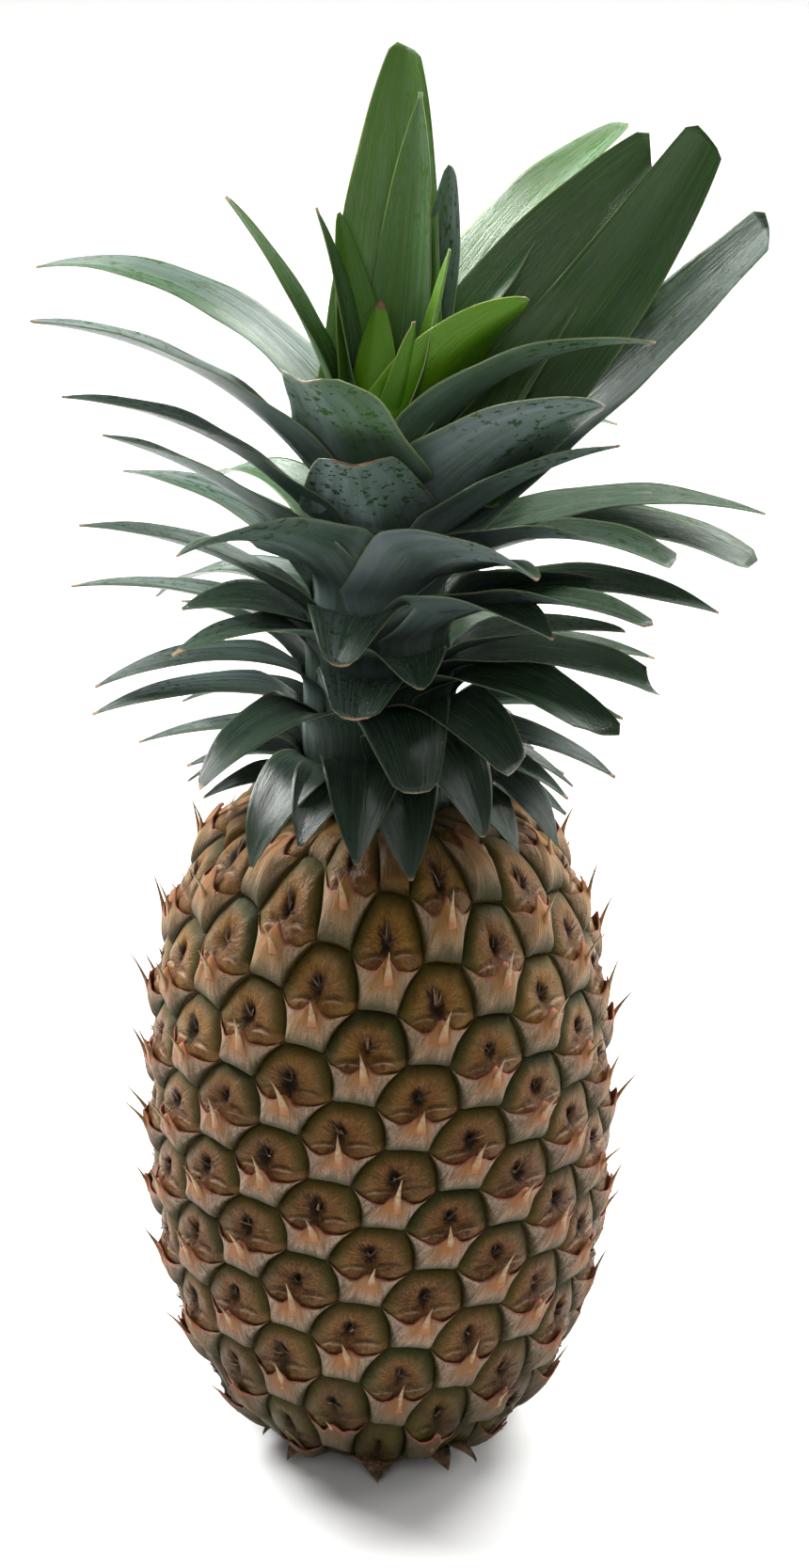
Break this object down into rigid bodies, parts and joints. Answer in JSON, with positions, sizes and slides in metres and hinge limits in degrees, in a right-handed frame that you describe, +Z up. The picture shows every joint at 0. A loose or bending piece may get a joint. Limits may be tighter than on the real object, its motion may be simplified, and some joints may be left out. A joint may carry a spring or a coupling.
{
  "type": "pineapple",
  "caption": "Whole fresh pineapple standing on its cut base: barrel-shaped fruit with eyes and spines, and an arching crown of long channelled leaves.",
  "frame": {"origin": "middle of the cut base that the fruit stands on", "axes": "+Z up the fruit's axis to the crown, -Y the front seen in the picture, +X to the right of that front"},
  "size_m": [0.1977, 0.1559, 0.3952],
  "materials": {
    "rind": "waxy, matt to slightly glossy rind with papery bracts",
    "cut_stalk": "dry fibrous cut face",
    "leaf": "tough green leaf with a grey waxy bloom"
  },
  "bodies": {
    "root": {"fruit": "rind", "stalk": "cut_stalk", "crown": "leaf"}
  },
  "joints": []
}
